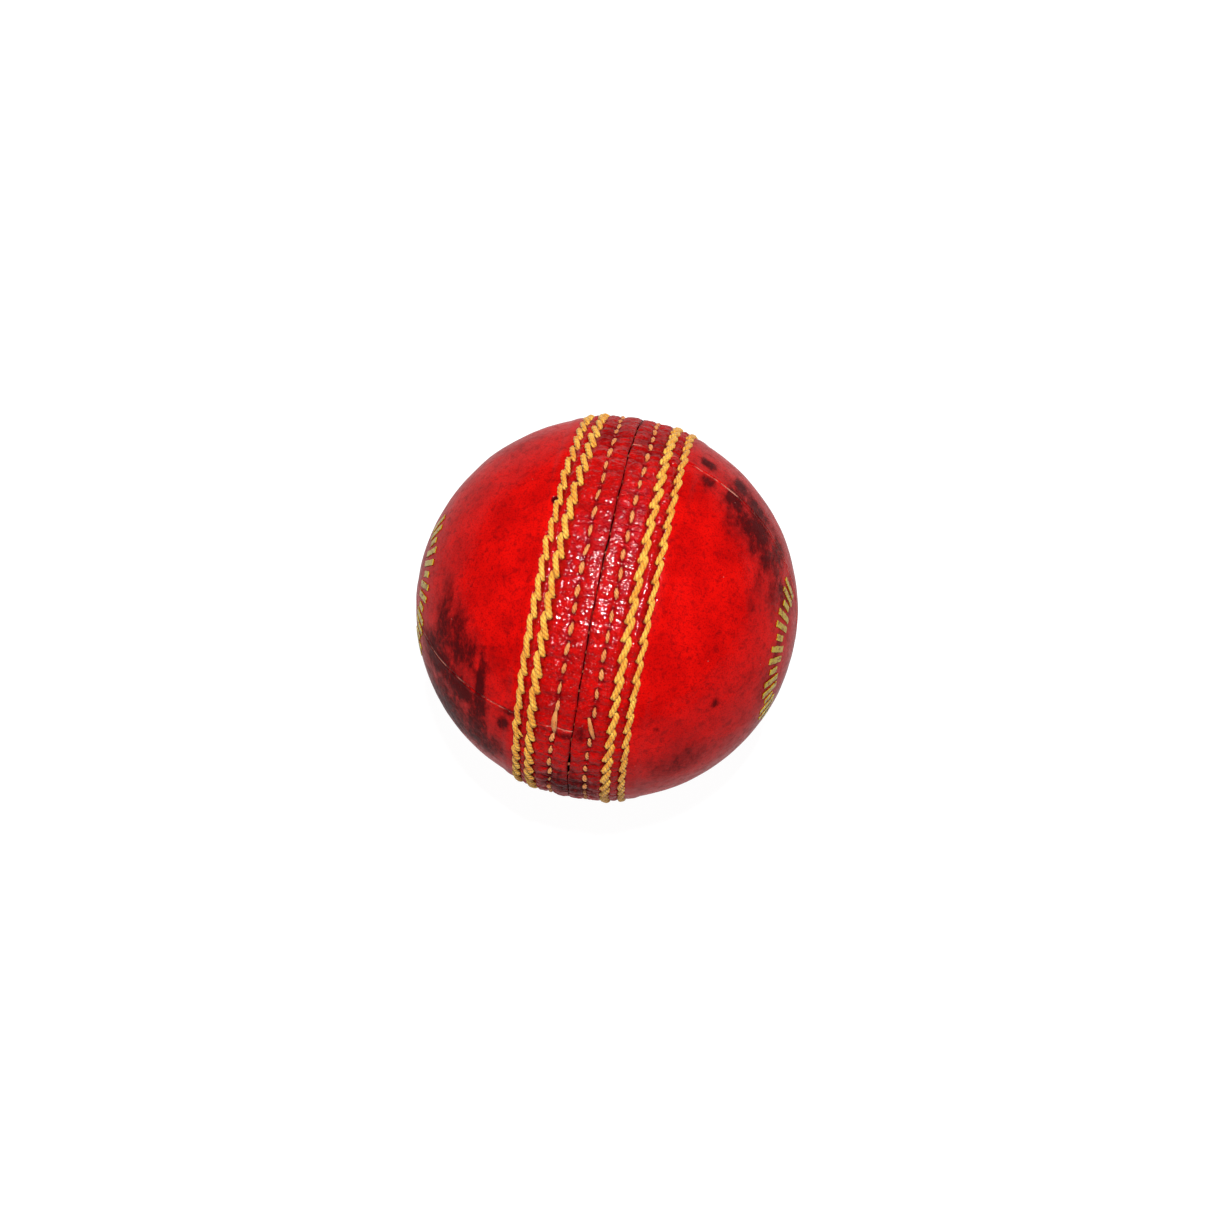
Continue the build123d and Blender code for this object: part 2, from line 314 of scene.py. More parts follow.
def tube_mesh(name, lines, radii, middles, thread_radii):
    """Closed round tubes along lines of points, as one mesh, with a UV map of (turns round, mm along).

    Each vertex also knows how near it is to the crown of its thread, from 0 in a gap between plies to 1.
    """
    sides = tube_sides
    tubes, points = radii.shape
    _, out, across = frames(lines)
    turn = np.arange(sides) * 2 * np.pi / sides
    ring = np.cos(turn)[:, None] * across[:, :, None, :] + np.sin(turn)[:, None] * out[:, :, None, :]
    corners = lines[:, :, None, :] + ring * radii[:, :, None, None]
    index = np.arange(tubes * points * sides).reshape(tubes, points, sides)
    near, far = index[:, :-1], index[:, 1:]
    quads = np.stack([near, np.roll(near, -1, 2), np.roll(far, -1, 2), far], -1)
    faces = quads.reshape(-1, 4).tolist()
    faces += index[:, 0, ::-1].tolist() + index[:, -1, :].tolist()
    mesh = bpy.data.meshes.new(name)
    mesh.from_pydata((corners.reshape(-1, 3) * MM).tolist(), [], faces)
    length = distances(lines)[:, :, None]
    u, v_near, v_far = np.arange(sides) / sides, length[:, :-1], length[:, 1:]
    corners_uv = ((u, v_near), (u + 1 / sides, v_near), (u + 1 / sides, v_far), (u, v_far))
    uv = np.stack([np.stack(np.broadcast_arrays(*corner), -1) for corner in corners_uv], -2)
    flat = np.zeros((len(mesh.loops), 2))
    flat[: uv.size // 2] = uv.reshape(-1, 2)
    mesh.uv_layers.new(name="thread").data.foreach_set("uv", flat.ravel())
    mesh.polygons.foreach_set("use_smooth", np.ones(len(mesh.polygons), bool))
    mesh.update()
    from_middle = np.linalg.norm(corners - middles[:, :, None, :], axis=-1) / thread_radii[:, :, None]
    set_values(mesh, "crown", ramp(from_middle, 0.62, 0.98).ravel())
    return mesh


def new_object(name, data):
    """A new object in the scene."""
    made = bpy.data.objects.new(name, data)
    bpy.context.scene.collection.objects.link(made)
    return made


def add_object(name, mesh, material, node):
    """An object that rides on the ball and stands for a CAD node."""
    piece = new_object(name, mesh)
    mesh.materials.append(material)
    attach(piece, "root")
    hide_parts(node)


def set_values(mesh, name, values):
    """Stores a number on each vertex, for the material to read."""
    mesh.attributes.new(name, "FLOAT", "POINT").data.foreach_set("value", values.astype(np.float32))


def depth_values(mesh, middle_height, reach):
    """Stores how deep each vertex of a thread lies, from 0 at its crown to 1 where it meets the leather."""
    points = np.zeros(len(mesh.vertices) * 3)
    mesh.vertices.foreach_get("co", points)
    height = np.linalg.norm(points.reshape(-1, 3), axis=-1) / MM - ball_radius
    set_values(mesh, "depth", 1 - ramp(height, middle_height - reach, middle_height + reach))


# ---- Leather ---------------------------------------------------------

# Dirt on the leather, and darker patches along the lower front: latitude, angle, half length round the ball
# and half width towards the pole in mm, bearing, strength
smudges = [
    (42, 37, 13.0, 10.0, 0, 0.44),
    (-42, -60, 15.0, 9.0, 0, 0.45),
    (-50, -41, 12.0, 3.4, 0, 0.72),
    (-43, -38, 7.5, 2.6, 4, 0.62),
    (-37, -44, 5.0, 3.4, 20, 0.66),
    (-30.5, -55, 7.5, 1.9, -4, 0.92),
    (-30.5, -68, 7.0, 2.6, 4, 0.75),
    (-37.5, -62.5, 3.0, 4.6, 0, 0.95),
    (-47, -60, 3.2, 7.0, 0, 0.78),
    (-56, -57, 4.0, 7.0, 0, 0.66),
    (-21.5, -64, 2.6, 1.7, 10, 0.9),
    (-19.5, -57.8, 1.1, 2.6, 0, 0.8),
    # The next three darken the leather along the lower left front.
    (-26, -80, 6.0, 6.5, 0, 0.62),
    (-38, -84, 9.0, 9.0, 0, 0.60),
    (-50, -86, 9.0, 9.0, 0, 0.60),
    (-25, -29, 3.2, 2.2, 40, 0.3),
    (-27, -42, 3.5, 2.4, 0, 0.36),
    (-22, -47, 3.2, 1.9, 0, 0.34),
    (-33, -20, 3.0, 2.4, 0, 0.22),
    (-35, 12, 3.5, 2.8, 60, 0.2),
    (23.5, 45.5, 2.2, 2.4, 0, 0.95),
    (24.5, 35.5, 2.4, 1.9, 0, 0.85),
    (35.5, 48, 3.2, 3.0, 20, 0.97),
    (34.0, 35.5, 3.2, 3.0, 0, 0.95),
    (39.5, 29, 3.0, 3.2, 0, 0.72),
    (46.5, 32, 6.0, 3.4, 8, 0.97),
    (43.0, 43, 3.5, 3.0, 0, 0.8),
    (51.5, 20, 4.0, 2.6, 0, 0.7),
    (56, 34, 6.0, 3.4, 0, 0.72),
    (58, 9, 5.0, 3.0, 0, 0.55),
    (50, 6, 4.0, 2.0, 0, 0.45),
    (66, 14, 7.0, 4.0, 0, 0.55),
    (48.5, -5, 2.4, 2.4, 10, 0.4),
    (34, 22, 3.0, 2.4, 0, 0.4),
    (54, -38, 3.4, 2.6, 30, 0.35),
    (67, -26, 5.0, 2.0, 0, 0.6),
    (64, -50, 5.0, 3.5, 20, 0.5),
    (42, -47, 1.5, 1.3, 0, 0.8),
    (38.5, -19, 0.7, 0.6, 0, 0.75),
    (24, -55, 1.0, 0.8, 0, 0.55),
    (33, -74, 9.0, 7.0, 60, 0.5),
    (6, 42, 7.0, 6.0, 0, 0.42),
    (-7, 42, 6.0, 3.5, 0, 0.45),
    (2, -58, 2.6, 1.6, 0, 0.62),
    (-2, -60, 1.0, 2.6, 0, 0.7),
    (0, -86, 9.0, 7.0, 0, 0.75),
    (-48, 120, 9.0, 4.0, 30, 0.8),
    (30, 150, 9.0, 5.0, 60, 0.7),
    (60, -140, 9.0, 3.5, 20, 0.75),
    (-25, 175, 8.0, 3.0, 80, 0.7),
    (-62, -160, 8.0, 5.0, 10, 0.6),
    (35, -120, 7.0, 5.0, 0, 0.6),
]
# Rubbed, greyed leather, in the same terms
scuffs = [
    (57, 40, 6.0, 4.5, 0, 0.95),
    (66, 30, 7.0, 3.5, 0, 0.8),
    (62, 8, 5.0, 3.0, 0, 0.5),
    (47, 42, 1.6, 5.0, 0, 0.6),
    (30, 54, 2.5, 5.0, 0, 0.4),
    (-58, -62, 6.0, 5.0, 20, 0.45),
    (-15, 160, 4.0, 2.0, 30, 0.6),
    (55, -150, 4.0, 3.0, 60, 0.6),
]


def patches(points, marks, seed, edge):
    """How strongly soft-edged patches cover points of the ball, from 0 to 1."""
    direction = unit(points)
    latitude = np.degrees(np.arcsin(np.clip(direction[..., 0], -1, 1)))
    angle = np.degrees(np.arctan2(direction[..., 1], direction[..., 2]))
    ragged = 0.65 * waves(points, 4.5, seed, squeeze=(2.2, 1, 1))
    ragged += 0.35 * waves(points, 1.6, seed + 1, squeeze=(2, 1, 1))
    clear = np.ones(latitude.shape)
    for mark_latitude, mark_angle, length, width, bearing, strength in marks:
        up = apart(angle, mark_angle) * degree * np.cos(np.radians(latitude))
        along = (latitude - mark_latitude) * degree
        c, s = np.cos(radians(bearing)), np.sin(radians(bearing))
        out = np.hypot((up * c + along * s) / length, (along * c - up * s) / width) + edge * ragged
        clear *= 1 - strength * (1 - ramp(out, 0.15, 1.3))
    return 1 - clear


def stamp(height, arcs, angles, arc, angle, shape, reach=3.2):
    """Adds shape(across, along), in mm, to the heights around one place."""
    step = degree * np.cos(arc / ball_radius)
    columns = np.nonzero(abs(apart(angles, angle)) * step < reach)[0]
    near = np.nonzero(abs(arcs - arc) < reach)[0]
    if not len(columns) or not len(near):
        return
    across = arcs[near][:, None] - arc
    along = apart(angles[columns], angle)[None, :] * step
    height[np.ix_(near, columns)] += shape(across, along)


def dimple(depth, radius):
    """A round dent."""
    return lambda across, along: -depth * np.exp(-(across**2 + along**2) / radius**2)


def crease(depth, length, width, bearing):
    """A valley that runs away from one place, deepest at its start. The bearing is from +X, in degrees."""
    c, s = np.cos(radians(bearing)), np.sin(radians(bearing))

    def shape(across, along):
        forward, sideways = across * c + along * s, along * c - across * s
        fade = np.where(forward > 0, np.exp(-((forward / length) ** 2)), np.exp(-((forward / width) ** 2)))
        return -depth * fade * np.exp(-((sideways / width) ** 2))

    return shape


def pillows(arcs, angles, side, uneven):
    """The leather's swelling between the rows, drawn in at every needle hole."""
    heavy = [row for row in rows.values() if row["side"] == side]
    middle, outer = sorted(heavy, key=lambda row: abs(row["offset"]))
    closing = closing_rows["left" if side < 0 else "right"]
    edges = [np.zeros(len(angles))] + [abs(row_arc(row, angles)) for row in (closing, middle, outer)]
    swell = np.zeros((len(arcs), len(angles)))
    for lane, (row, rise) in enumerate(((closing, 0.17), (closing, 0.21), (middle, 0.15))):
        near, far = edges[lane : lane + 2]
        centre, half = (near + far) / 2, (far - near) / 2 - thread_room
        inside = np.exp(-(((abs(arcs)[:, None] - centre) / half) ** 4))
        drawn = abs(np.cos(np.pi * (angles - row["first"]) / pitch)) ** 0.75
        swell += rise * inside * (drawn[None, :] - 0.45)
    return swell * (1 + 0.4 * uneven)


def press_heavy_row(height, arcs, angles, row, random):
    """Presses a heavy row's groove, its needle holes and the creases that run from them into the leather."""
    side = row["side"]
    across = arcs[:, None] - row_arc(row, angles)[None, :]
    outside = (across * side > 0) & (abs(row["offset"]) > sewn_edges[side])
    inner_wall = np.exp(-((across / (row["reach"] + 0.42)) ** 4))
    outer_wall = np.exp(-((across / (row["reach"] + 0.55)) ** 2))
    height -= np.where(outside, 0.16 * outer_wall, 0.34 * inner_wall)
    lip = np.where(outside, 0.0, 0.07)
    height += lip * np.exp(-(((abs(across) - row["reach"] - 0.95) / 0.35) ** 2))
    arc, angle, _ = heavy_middles(row)
    for end, away in ((0, -1), (-1, 1)):
        outer = -side * away
        for k in range(stitches):
            hole_arc, hole_angle = arc[k, end] + 0.12 * outer, angle[k, end]
            stamp(height, arcs, angles, hole_arc, hole_angle, dimple(0.34, 0.36))
            length, depth = random.uniform(0.8, 2.4), random.uniform(0.12, 0.30)
            bearing = random.normal(0 if outer > 0 else 180, 14)
            share = 1.0 if outer * side < 0 else 0.45
            fold = crease(depth * share, length * share, 0.26, bearing)
            stamp(height, arcs, angles, hole_arc, hole_angle, fold)


def closing_bed(row, k):
    """The hollow that one stitch of the closing thread lies in."""
    length = row["half"][k] * degree

    def shape(across, along):
        lean = across + row["slant"][k] * along * 0.5
        return -0.26 * np.exp(-((lean / (row["width"][k] + 0.1)) ** 4) - (along / length) ** 4)

    return shape


def press_closing_row(height, arcs, angles, row, random):
    """Does the same for a row of the closing thread, which draws the leather down more gently."""
    across = arcs[:, None] - row_arc(row, angles)[None, :]
    height -= 0.09 * np.exp(-((across / 0.22) ** 2))
    height -= 0.10 * np.exp(-((across / 1.0) ** 2))
    for k in range(stitches):
        middle, angle, half = row["middle"][k], row["angle"][k], row["half"][k]
        stamp(height, arcs, angles, middle, angle, closing_bed(row, k), reach=4.5)
        for end in (-1, 1):
            hole = angle + end * half
            stamp(height, arcs, angles, middle, hole, dimple(0.10, 0.24))
            for way in (0, 180):
                length, depth = random.uniform(0.6, 2.4), random.uniform(0.08, 0.24)
                fold = crease(depth, length, 0.24, random.normal(way, 16))
                stamp(height, arcs, angles, middle, hole, fold)


def row_distances():
    """Distances along the leather from the slit's edge to the pole: close in the band, then wider."""
    lip = [0, 0.015, 0.045, 0.09, 0.16, 0.27]
    band = np.arange(0.4, band_foot, band_step).tolist()
    cheek, step = [band[-1]], band_step
    pole = ball_radius * np.pi / 2
    while cheek[-1] < pole - 1.2 * cheek_step:
        step = min(step * 1.06, cheek_step)
        cheek.append(cheek[-1] + step)
    return np.array(lip + band + cheek[1:] + [pole])


def outside_relief(quarter, points, arcs, row_arcs, angles, sewn):
    """How high a quarter's sewn, puckered leather stands above the bare cheek, before its edges are cut."""
    side, seed = quarter["side"], quarter["seed"]
    height = band_height * (1 - ramp(abs(arcs), band_edge, band_foot))
    height += 0.05 * waves(points, 9, seed) + 0.02 * waves(points, 3.5, seed + 1)
    random = np.random.default_rng(seed + 2)
    for row in rows.values():
        if row["side"] == side:
            press_heavy_row(height, row_arcs, angles, row, random)
    for row in closing_rows.values():
        if row["side"] == side:
            press_closing_row(height, row_arcs, angles, row, random)
    height += sewn * pillows(row_arcs, angles, side, waves(points, 8, seed + 5))
    height += sewn * 0.055 * waves(points, 1.7, seed + 3, squeeze=(0.6, 1, 1))
    height += sewn * 0.050 * waves(points, 0.8, seed + 4, squeeze=(0.8, 1, 1))
    return height


def round_edges(height, distance, to_seam):
    """Rounds the leather's lips at the slit and at the quarter seam, and draws it down beside the slit."""
    inside_lip = np.clip(lip_radius - distance, 0, lip_radius)[:, None]
    height -= lip_radius - np.sqrt(lip_radius**2 - inside_lip**2)
    height -= 0.07 * np.exp(-((distance / 0.6) ** 2))[:, None]
    inside_seam = np.clip(seam_lip_radius - to_seam, 0, seam_lip_radius)
    height -= seam_lip_radius - np.sqrt(seam_lip_radius**2 - inside_seam**2)
    height += 0.05 * np.exp(-(((to_seam - 0.5) / 0.3) ** 2))


def shell_faces(count, width, side):
    """Faces of a closed shell from a grid whose rows run right round its section, and whose ends are flat."""
    index = np.arange(count * width).reshape(count, width)
    following = np.roll(index, -1, 0)
    quads = np.stack([index[:, :-1], index[:, 1:], following[:, 1:], following[:, :-1]], -1).reshape(-1, 4)
    if side > 0:
        quads = quads[:, ::-1]
    ends = [index[:, 0], index[::-1, -1]] if side > 0 else [index[::-1, 0], index[:, -1]]
    return quads.tolist() + [end.tolist() for end in ends]


def panel_mesh(name, quarter):
    """One leather quarter as a closed shell: its puckered outside, its lips and its plain inside."""
    side, start, seed = quarter["side"], quarter["start"], quarter["seed"]
    distance = row_distances()
    angles = start - np.linspace(0, 180, column_count + 1)
    slit = slit_half_width(angles) + side * slit_wander(angles)
    at_slit = np.clip(1 - distance / slit_reach, 0, 1)[:, None]
    arcs = side * (distance[:, None] + at_slit * slit[None, :])
    arcs[-1] = side * distance[-1]
    row_arcs = side * (distance + at_slit[:, 0] * 0.12)
    points = place(arcs, angles[None, :], np.zeros(arcs.shape))

    sewn = 1 - ramp(abs(arcs), sewn_edges[side], sewn_edges[side] + sewn_fade)
    height = outside_relief(quarter, points, arcs, row_arcs, angles, sewn)
    to_seam = abs(np.sin(np.radians(angles - start)))[None, :] * ball_radius * np.cos(arcs / ball_radius)
    round_edges(height, distance, to_seam)
    stamp(height, row_arcs, angles, torn_arc, torn_angle, dimple(torn_depth, torn_radius))
    outer = place(arcs, angles[None, :], height)

    wall_depths = np.array([-leather_thickness, -1.9, -1.3, -0.85, -0.55])
    wall_height = wall_depths[:, None] * np.ones(len(angles))
    wall = place(np.broadcast_to(arcs[0], wall_height.shape), angles[None, :], wall_height)
    inner_distance = np.linspace(distance[-1], distance[0], 16)[:-1]
    inner_arcs = side * inner_distance[:, None] * np.ones(len(angles))
    inner = place(inner_arcs, angles[None, :], np.full(inner_arcs.shape, -leather_thickness))
    grid = np.concatenate([wall, outer, inner])
    outside = slice(len(wall_depths), len(wall_depths) + len(distance))

    turn = radians(start)
    across = np.array([0, np.cos(turn), -np.sin(turn)])  # square to the quarter seam
    mesh = bpy.data.meshes.new(name)
    corners = (grid - across * quarter_gap).reshape(-1, 3) * MM
    mesh.from_pydata(corners.tolist(), [], shell_faces(*grid.shape[:2], side))

    values = {key: np.zeros(grid.shape[:2]) for key in ("band", "relief")}
    values["band"][outside] = sewn
    values["relief"][outside] = height - band_height * (1 - ramp(abs(arcs), band_edge, band_foot))
    values["edge"] = np.ones(grid.shape[:2])
    values["edge"][outside] = 0
    values["polish"] = 1 - 0.75 * values["band"] * ramp(abs(apart(angles, 0)), 20, 50)
    values["stain"] = patches(grid, smudges, smudge_seed, 0.26)
    # Painted shade, stored with the stains: darker leather along the slit and inside the torn needle hole.
    from_hole = np.hypot(degree * apart(angles, torn_angle)[None, :], row_arcs[:, None] - torn_arc)
    slit_shade = 0.42 * np.exp(-((distance / 0.5) ** 2))[:, None] * (1 + 0.5 * waves(points, 5, seed + 6))
    for dirt in (slit_shade, 1.6 * (1 - ramp(from_hole, 0.4, 0.95))):
        values["stain"][outside] = np.maximum(values["stain"][outside], dirt)
    values["scuff"] = patches(grid, scuffs, scuff_seed, 0.6)
    values["seam"] = np.exp(-((abs(grid @ across) / 0.11) ** 2))
    for key, value in values.items():
        set_values(mesh, key, value.ravel())
    finish_panel(mesh)
    return mesh


def finish_panel(mesh):
    """Joins the points at the pole, shades the leather smooth and keeps the cut edges sharp."""
    shell = bmesh.new()
    shell.from_mesh(mesh)
    for face in shell.faces:
        face.smooth = len(face.verts) <= 4
        if not face.smooth:
            for cut in face.edges:
                cut.smooth = False
    bmesh.ops.remove_doubles(shell, verts=shell.verts, dist=0.0005 * MM)
    bmesh.ops.dissolve_degenerate(shell, edges=shell.edges, dist=0.0005 * MM)
    bmesh.ops.recalc_face_normals(shell, faces=shell.faces)
    shell.to_mesh(mesh)
    shell.free()


# ---- Materials -------------------------------------------------------


class Paint:
    """Short calls for building one material's nodes."""

    def __init__(self, name):
        self.material = bpy.data.materials.new(name)
        self.material.use_nodes = True
        self.tree = self.material.node_tree
        self.tree.nodes.clear()
        self.shader = self.add("ShaderNodeBsdfPrincipled")
        output = self.add("ShaderNodeOutputMaterial")
        self.tree.links.new(self.shader.outputs[0], output.inputs["Surface"])
        coordinates = self.add("ShaderNodeTexCoord").outputs["Object"]
        scaled = self.add("ShaderNodeVectorMath", operation="SCALE")
        self.tree.links.new(coordinates, scaled.inputs[0])
        scaled.inputs["Scale"].default_value = 1 / MM
        self.place = scaled.outputs[0]

    def add(self, kind, **settings):
        """A new node with those settings."""
        made = self.tree.nodes.new(kind)
        for key, value in settings.items():
            setattr(made, key, value)
        return made

    def put(self, socket, value):
        """Links a socket to another, or gives it a plain value."""
        if isinstance(value, bpy.types.NodeSocket):
            self.tree.links.new(value, socket)
        else:
            socket.default_value = value

    def math(self, operation, *values, clamp=False):
        """Arithmetic on sockets and numbers."""
        made = self.add("ShaderNodeMath", operation=operation, use_clamp=clamp)
        for socket, value in zip(made.inputs, values):
            self.put(socket, value)
        return made.outputs[0]

    def noise(self, per_mm, detail=3.0, roughness=0.55, stretch=None, distortion=0.0):
        """Smooth noise of about that many waves per millimetre."""
        made = self.add("ShaderNodeTexNoise")
        vector = self.place
        if stretch:
            mapping = self.add("ShaderNodeMapping")
            self.put(mapping.inputs["Vector"], self.place)
            mapping.inputs["Scale"].default_value = stretch
            vector = mapping.outputs[0]
        self.put(made.inputs["Vector"], vector)
        values = dict(Scale=per_mm, Detail=detail, Roughness=roughness, Distortion=distortion)
        for key, value in values.items():
            made.inputs[key].default_value = value
        return made.outputs["Fac"]

    def cells(self, per_mm):
        """The distance to the nearest of points strewn that densely."""
        made = self.add("ShaderNodeTexVoronoi")
        self.put(made.inputs["Vector"], self.place)
        made.inputs["Scale"].default_value = per_mm
        return made.outputs["Distance"]

    def spread(self, value, low, high, to_low=0.0, to_high=1.0):
        """A smooth step of a value from one range to another."""
        made = self.add("ShaderNodeMapRange", interpolation_type="SMOOTHSTEP")
        for socket, number in zip(made.inputs, (value, low, high, to_low, to_high)):
            self.put(socket, number)
        return made.outputs[0]

    def times(self, *values):
        """The product of sockets and numbers."""
        product = values[0]
        for value in values[1:]:
            product = self.math("MULTIPLY", product, value)
        return product

    def mix(self, share, first, second):
        """A share of the second colour over the first."""
        made = self.add("ShaderNodeMix", data_type="RGBA")
        self.put(made.inputs["Factor"], share)
        self.put(made.inputs[6], first)
        self.put(made.inputs[7], second)
        return made.outputs[2]

    def value(self, name):
        """A number stored on the mesh."""
        return self.add("ShaderNodeAttribute", attribute_name=name).outputs["Fac"]

    def bump(self, height, distance_mm, strength=1.0):
        """The normal of a surface that the height lifts by up to that distance."""
        made = self.add("ShaderNodeBump")
        self.put(made.inputs["Height"], height)
        made.inputs["Distance"].default_value = distance_mm * MM
        made.inputs["Strength"].default_value = strength
        return made.outputs[0]

    def finish(self, **values):
        """Sets the shader's sockets and gives back the material."""
        for name, value in values.items():
            self.put(self.shader.inputs[name.replace("_", " ")], value)
        return self.material


def colour(red, green, blue, share=0.33):
    """A colour as the key light shows it, in a screen's 0 to 255 steps, as the light it throws back."""
    steps = np.array([red, green, blue]) / 255
    linear = np.where(steps <= 0.04045, steps / 12.92, ((steps + 0.055) / 1.055) ** 2.4)
    return (*(linear * share).tolist(), 1.0)


def leather_paint():
    """Deep red lacquered leather: grain, blotches, smudges, scuffs, a worn gloss and painted shade in dents
    and at the slit.
    """
    paint = Paint("lacquered_leather")
    blotch = paint.noise(0.16, 4, 0.6)
    mottle = paint.noise(0.8, 4, 0.65)
    fine = paint.noise(3.4, 3, 0.6)
    band = paint.value("band")
    red = paint.mix(paint.spread(blotch, 0.3, 0.7), colour(246, 14, 8), colour(214, 8, 6))
    red = paint.mix(paint.times(paint.spread(mottle, 0.48, 0.70), 0.58), red, colour(140, 4, 8))
    red = paint.mix(paint.times(paint.spread(fine, 0.48, 0.66), 0.5), red, colour(120, 2, 8))
    # The sewn band darker red in patches.
    band_darkening = paint.spread(paint.noise(0.5, 4, 0.65), 0.38, 0.7, 0.1, 0.7)
    red = paint.mix(paint.times(band_darkening, band), red, colour(152, 0, 2))
    # Painted shade: the leather darker red in its dents, grooves, creases and needle holes.
    dent_shade = paint.spread(paint.value("relief"), -0.06, -0.36)
    red = paint.mix(paint.times(dent_shade, 0.62), red, colour(96, 4, 12))

    # Stains and smudges, which also carry the painted shade along the slit and in the torn hole.
    ragged = paint.math("SUBTRACT", paint.noise(1.0, 6, 0.72, stretch=(1.6, 0.8, 0.8)), 0.5)
    stain = paint.value("stain")
    stain = paint.math("ADD", stain, paint.times(ragged, 2.2, stain))
    stain = paint.times(paint.spread(stain, 0.02, 0.92), 0.95)
    red = paint.mix(stain, red, colour(80, 8, 12))
    rub = paint.times(paint.value("scuff"), paint.spread(paint.noise(1.3, 5, 0.75), 0.42, 0.66))
    red = paint.mix(paint.times(rub, 0.55), red, colour(150, 96, 92))
    pale_line = paint.times(paint.value("seam"), paint.spread(paint.noise(0.22, 5, 0.7), 0.44, 0.62))
    red = paint.mix(paint.times(pale_line, 0.85), red, colour(226, 150, 130, 0.42))
    chip = paint.spread(paint.cells(0.42), 0.06, 0.03)
    chip = paint.times(chip, paint.spread(paint.noise(0.3, 1), 0.52, 0.58), 0.7)
    red = paint.mix(chip, red, colour(205, 120, 110))
    red = paint.mix(paint.value("edge"), red, colour(46, 14, 12))

    grain = paint.math("ADD", paint.times(paint.cells(2.6), 0.5), fine)
    wrinkles = paint.noise(1.05, 1.3, 0.5, stretch=(0.8, 1, 1), distortion=0.6)
    both = paint.add("ShaderNodeMix", data_type="VECTOR")
    paint.put(both.inputs["Factor"], paint.spread(band, 0.1, 1.0, 0.03, 0.85))
    paint.put(both.inputs[4], paint.bump(grain, 0.05, 0.4))
    paint.put(both.inputs[5], paint.bump(wrinkles, 0.44))
    normal = both.outputs[1]
    roughness = paint.spread(mottle, 0.3, 0.75, 0.36, 0.52)
    roughness = paint.math("ADD", roughness, paint.times(rub, 0.25), clamp=True)
    clean = paint.spread(stain, 0.0, 0.9, 1.0, 0.1)
    lacquer = paint.times(paint.spread(band, 0.0, 1.0, 0.10, 0.56), clean, paint.value("polish"))
    return paint.finish(
        Base_Color=red, Roughness=roughness, Normal=normal, Coat_Normal=normal, Coat_Weight=lacquer,
        Specular_IOR_Level=0.01, Coat_Roughness=0.09, Coat_IOR=1.4,
    )


def thread_paint(name, light, middle, dark, stain):
    """Waxed twisted linen: fibres along each ply, uneven dye, patchy dirt, and painted shade between plies
    and at the leather.
    """
    paint = Paint(name)
    uv = paint.add("ShaderNodeUVMap", uv_map="thread").outputs[0]
    split = paint.add("ShaderNodeSeparateXYZ")
    paint.put(split.inputs[0], uv)
    around, along = split.outputs[0], split.outputs[1]
    nap = paint.noise(4.5, 3, 0.6)
    lay = paint.math("ADD", paint.times(around, 5.0), paint.times(along, 1.6))
    lay = paint.math("ADD", lay, paint.times(nap, 0.8))
    fibre = paint.spread(paint.math("SINE", paint.times(lay, 2 * np.pi)), -1.0, 1.0)
    uneven = paint.noise(0.55, 4, 0.6)
    shade = paint.mix(paint.spread(uneven, 0.32, 0.68), middle, light)
    shade = paint.mix(paint.times(paint.math("SUBTRACT", 1.0, fibre), 0.30), shade, dark)
    # Painted shade in the gaps between the plies.
    gap = paint.math("SUBTRACT", 1.0, paint.value("crown"))
    shade = paint.mix(paint.times(gap, 0.9), shade, dark)
    # Painted shade where the thread goes down into the leather.
    deep = paint.spread(paint.value("depth"), 0.35, 1.0)
    shade = paint.mix(paint.times(deep, 0.85), shade, dark)
    grime = paint.spread(paint.noise(0.35, 5, 0.7), 0.55, 0.75)
    shade = paint.mix(paint.times(grime, 0.5), shade, stain)
    height = paint.math("ADD", paint.times(fibre, 0.7), nap)
    roughness = paint.spread(nap, 0.3, 0.7, 0.48, 0.68)
    return paint.finish(
        Base_Color=shade, Roughness=roughness, Normal=paint.bump(height, 0.06, 0.8),
        Specular_IOR_Level=0.18, Sheen_Weight=0.06, Sheen_Roughness=0.5,
    )


def foil_paint():
    """Gold foil, rubbed through to the red leather."""
    paint = Paint("worn_gilt")
    worn = paint.spread(paint.noise(1.3, 5, 0.75), 0.50, 0.60)
    gold = paint.mix(paint.noise(3.0, 3), colour(226, 196, 34, 0.42), colour(170, 140, 12, 0.38))
    shade = paint.mix(paint.times(worn, 0.9), gold, colour(150, 12, 14))
    return paint.finish(
        Base_Color=shade, Metallic=paint.math("SUBTRACT", 0.12, paint.times(worn, 0.12)),
        Roughness=paint.spread(worn, 0, 1, 0.34, 0.5), Normal=paint.bump(paint.noise(2.6, 4), 0.05, 0.5),
        Specular_IOR_Level=0.12,
    )


def wool_paint():
    """Undyed yarn, with its turns and loose hairs."""
    paint = Paint("wound_wool")
    nap = paint.noise(2.2, 5, 0.7, stretch=(0.3, 1, 1))
    shade = paint.mix(nap, colour(196, 178, 146), colour(150, 128, 96))
    return paint.finish(
        Base_Color=shade, Roughness=paint.spread(nap, 0.3, 0.7, 0.8, 0.95), Normal=paint.bump(nap, 0.25, 0.9),
        Sheen_Weight=0.4,
    )


def cork_paint(name, light, dark, per_mm):
    """Pressed cork: pale granules with dark gaps."""
    paint = Paint(name)
    granule = paint.cells(per_mm)
    speck = paint.noise(1.6, 4, 0.7)
    shade = paint.mix(paint.spread(granule, 0.25, 0.75), light, dark)
    shade = paint.mix(paint.times(paint.spread(speck, 0.55, 0.7), 0.7), shade, colour(60, 38, 24))
    roughness = paint.spread(speck, 0.3, 0.7, 0.7, 0.9)
    return paint.finish(Base_Color=shade, Roughness=roughness, Normal=paint.bump(granule, 0.2, 0.7))


